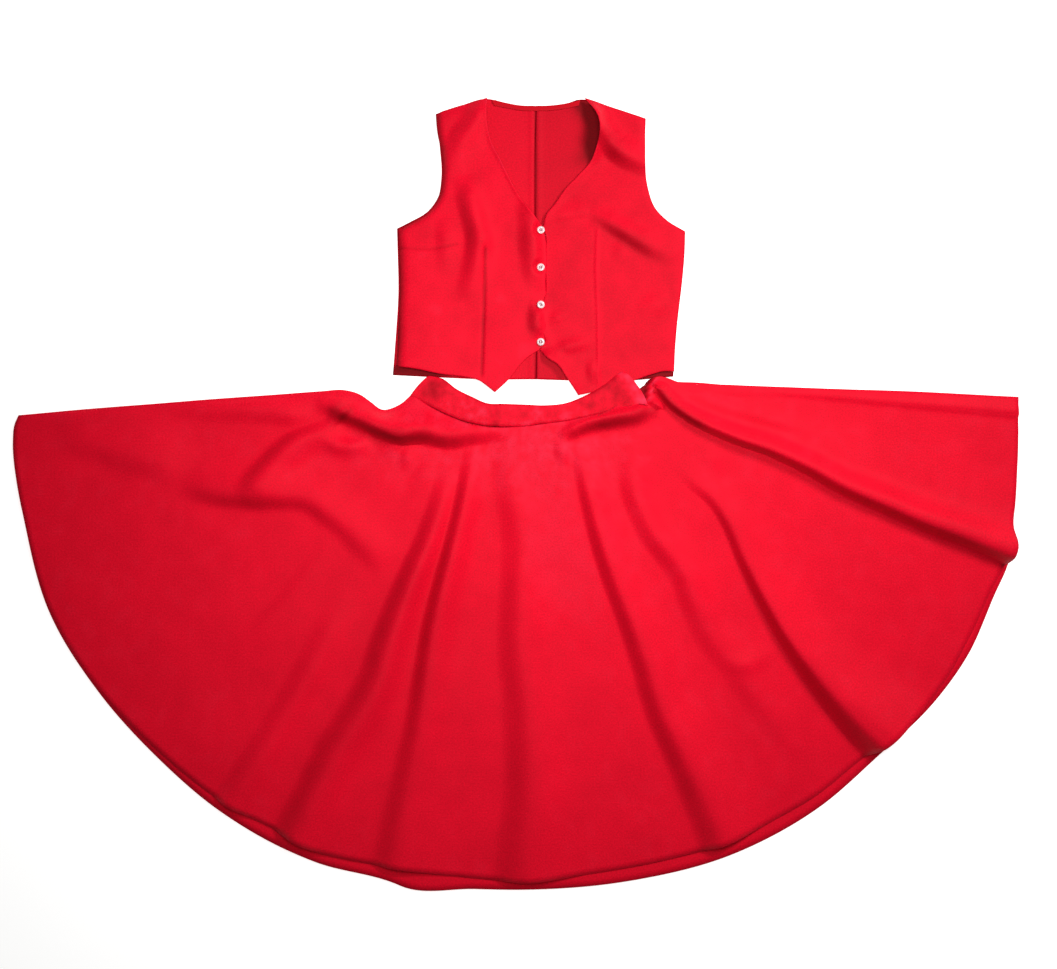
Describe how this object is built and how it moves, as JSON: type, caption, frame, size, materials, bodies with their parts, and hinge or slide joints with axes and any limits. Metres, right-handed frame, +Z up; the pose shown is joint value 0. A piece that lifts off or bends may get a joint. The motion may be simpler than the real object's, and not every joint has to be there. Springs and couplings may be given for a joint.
{
  "type": "cheer uniform",
  "caption": "Two-piece cheer uniform laid flat: sleeveless V-neck vest closed with buttons and loops, above a full-circle skirt with waistband and side zip.",
  "frame": {"origin": "on the surface the uniform lies on, under the middle of the whole outline", "axes": "+X to the wearer's left along the width of the skirt, +Y from the skirt's hem to the vest's neck, +Z up out of the garments' fronts"},
  "size_m": [1.4254, 1.121, 0.024],
  "materials": {
    "cloth": "matte woven red cloth",
    "facing": "matte red cloth, inside face",
    "thread": "twisted red sewing thread",
    "pearl": "pearly moulded plastic",
    "zip_tape": "woven red zip tape",
    "zip_coil": "red nylon coil",
    "metal": "nickel plated, satin"
  },
  "bodies": {
    "skirt": {"skirt_back": "cloth", "skirt_front_top": "cloth", "waistband_back": "cloth", "waistband_front": "cloth", "zip_tape_back": "zip_tape", "zip_tape_front": "zip_tape", "zip_teeth_back": "zip_coil", "zip_teeth_front": "zip_coil", "zip_top_stop_back": "metal", "zip_top_stop_front": "metal", "zip_bottom_stop": "metal", "waist_hook": "metal", "waist_bar": "metal"},
    "skirt_front": {"skirt_front": "cloth"},
    "vest": {"vest_back_left": "cloth", "vest_back_right": "cloth", "vest_front_left": "cloth", "vest_front_right": "cloth", "back_neck_binding": "facing", "armhole_binding_left": "facing", "armhole_binding_right": "facing"},
    "left_edge": {"vest_front_left_edge": "cloth", "front_facing_left": "facing", "button_loop_1": "thread", "button_loop_2": "thread", "button_loop_3": "thread", "button_loop_4": "thread"},
    "right_edge": {"vest_front_right_edge": "cloth", "front_facing_right": "facing"},
    "button_1": {"button_1": "pearl", "button_thread_1": "thread"},
    "button_2": {"button_2": "pearl", "button_thread_2": "thread"},
    "button_3": {"button_3": "pearl", "button_thread_3": "thread"},
    "button_4": {"button_4": "pearl", "button_thread_4": "thread"},
    "zip_slider": {"zip_slider": "metal"},
    "zip_pull": {"zip_pull": "metal"}
  },
  "joints": [
    {"name": "vest_slide", "type": "slide", "parent": "skirt", "child": "vest", "axis": [0, 1, 0], "range_m": [0, 0.35]},
    {"name": "left_edge_fold", "type": "hinge", "parent": "vest", "child": "left_edge", "pos_m": [0.09134, 0.3, 0.00355], "axis": [0, 1, 0], "range_deg": [0, 170]},
    {"name": "right_edge_fold", "type": "hinge", "parent": "vest", "child": "right_edge", "pos_m": [-0.02096, 0.3, 0.00355], "axis": [0, -1, 0], "range_deg": [0, 70]},
    {"name": "skirt_front_lift", "type": "hinge", "parent": "skirt", "child": "skirt_front", "pos_m": [0, 0.0826, 0.00675], "axis": [-1, 0, 0], "range_deg": [0, 150]},
    {"name": "button_1_turn", "type": "hinge", "parent": "right_edge", "child": "button_1", "pos_m": [0.03519, 0.37445, 0.005], "axis": [0, 0, 1], "range_deg": [-60, 60]},
    {"name": "button_2_turn", "type": "hinge", "parent": "right_edge", "child": "button_2", "pos_m": [0.03519, 0.32165, 0.005], "axis": [0, 0, 1], "range_deg": [-60, 60]},
    {"name": "button_3_turn", "type": "hinge", "parent": "right_edge", "child": "button_3", "pos_m": [0.03519, 0.26885, 0.005], "axis": [0, 0, 1], "range_deg": [-60, 60]},
    {"name": "button_4_turn", "type": "hinge", "parent": "right_edge", "child": "button_4", "pos_m": [0.03519, 0.21605, 0.005], "axis": [0, 0, 1], "range_deg": [-60, 60]},
    {"name": "zip_slide", "type": "slide", "parent": "skirt", "child": "zip_slider", "axis": [0.9996, -0.0273, 0], "range_m": [-0.03, 0.105]},
    {"name": "zip_pull_swing", "type": "hinge", "parent": "zip_slider", "child": "zip_pull", "pos_m": [0.2423, 0.15564, 0.0033], "axis": [0, 0, 1], "range_deg": [0, 170]}
  ],
  "couplings": [
    {"joint": "right_edge_fold", "follows": "left_edge_fold", "ratio": 0.4}
  ]
}
